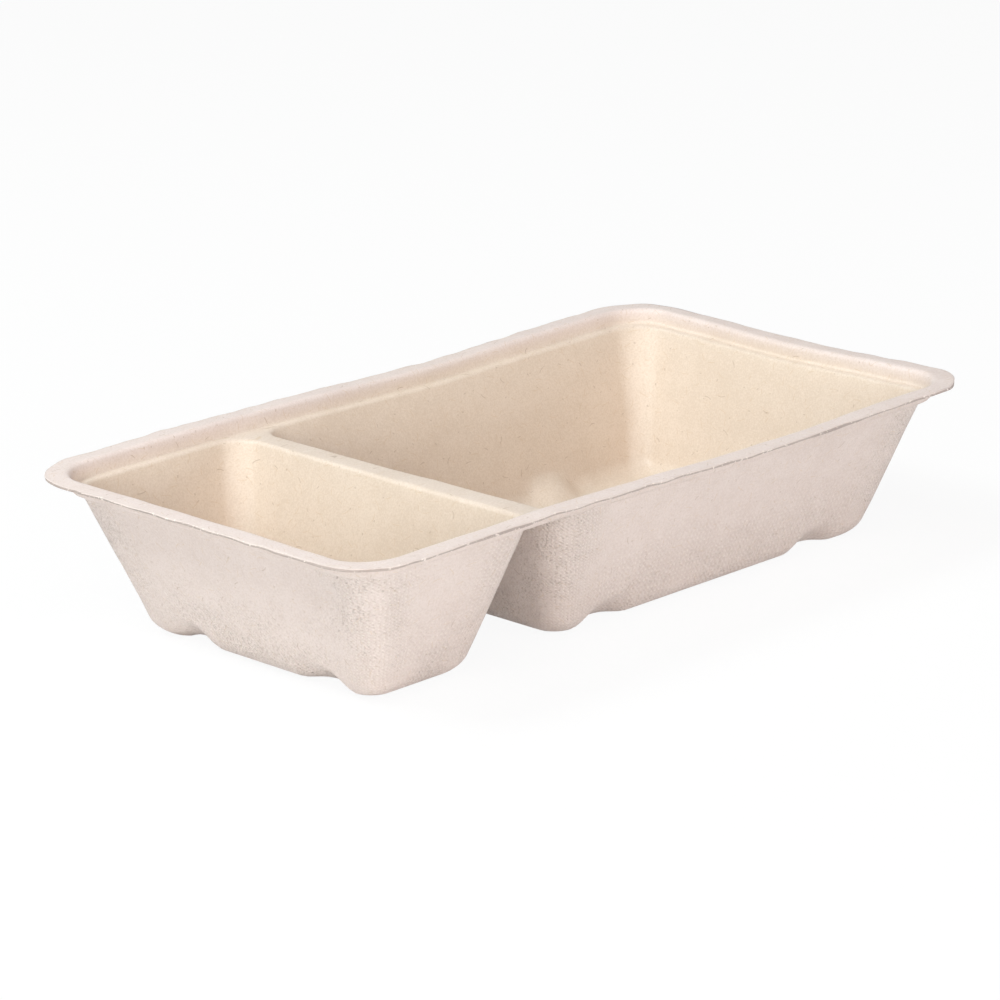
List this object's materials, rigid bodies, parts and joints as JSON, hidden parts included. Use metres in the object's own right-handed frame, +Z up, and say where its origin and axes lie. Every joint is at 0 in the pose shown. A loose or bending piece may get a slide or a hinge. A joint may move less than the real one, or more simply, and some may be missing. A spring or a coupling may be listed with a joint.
{
  "type": "snack tray",
  "caption": "Moulded-fibre snack tray with a small and a large compartment, a flat rim with a lid ledge, a hollow divider and denesting notches low in the outer walls.",
  "frame": {"origin": "bottom centre of the tray's box, on the surface it stands on", "axes": "+X along the length towards the large compartment, +Y to the back, +Z up"},
  "size_m": [0.22, 0.122, 0.0416],
  "materials": {
    "fibre": "matt pressed plant fibre, smooth on the food side, wire-mesh imprint outside"
  },
  "bodies": {
    "root": {"tray": "fibre"}
  },
  "joints": []
}
